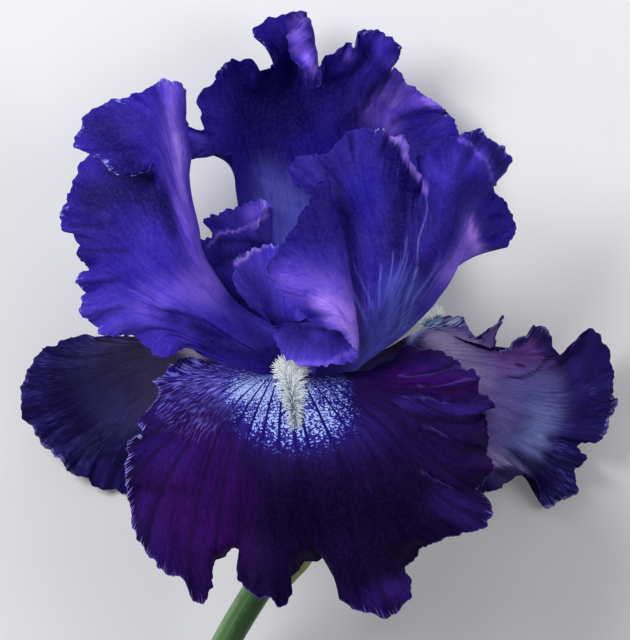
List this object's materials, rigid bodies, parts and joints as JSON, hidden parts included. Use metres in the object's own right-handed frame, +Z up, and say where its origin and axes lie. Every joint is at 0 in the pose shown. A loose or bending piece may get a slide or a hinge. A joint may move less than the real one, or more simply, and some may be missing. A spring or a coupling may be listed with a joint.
{
  "type": "bearded iris flower",
  "caption": "Cut bearded iris in full bloom, lying on its back: ruffled upright standards over drooping falls with soft beards, crested style arms, papery bracts and a short stem.",
  "frame": {"origin": "on the surface that the flower lies on, under the middle of its outline", "axes": "+Y along the flower from the cut stem to the crown, +Z up from the surface, +X to the right as seen from above with the crown at the top"},
  "size_m": [0.152, 0.1922, 0.0874],
  "materials": {
    "standard_petal": "soft satin petal, blue-violet with paler ridges",
    "fall_petal": "velvety petal, blackish violet with a white veined haft",
    "style_arm": "satin petal-like arm, blue-violet with pale crests",
    "beard_hair": "fine matt hairs, white with a cool tint",
    "stamen": "matt, pale lavender with cream pollen",
    "green_stem": "waxy green with a pale bloom",
    "bract": "papery green, dry and tan at its edges"
  },
  "bodies": {
    "root": {"stem": "green_stem", "ovary_and_tube": "green_stem", "bract_outer": "bract", "bract_inner": "bract", "fall_front": "fall_petal", "fall_left": "fall_petal", "fall_right": "fall_petal", "beard_front": "beard_hair", "beard_left": "beard_hair", "beard_right": "beard_hair", "standard_left": "standard_petal", "standard_right": "standard_petal", "standard_back": "standard_petal", "style_front": "style_arm", "style_left": "style_arm", "style_right": "style_arm", "stamen_front": "stamen", "stamen_left": "stamen", "stamen_right": "stamen"}
  },
  "joints": []
}
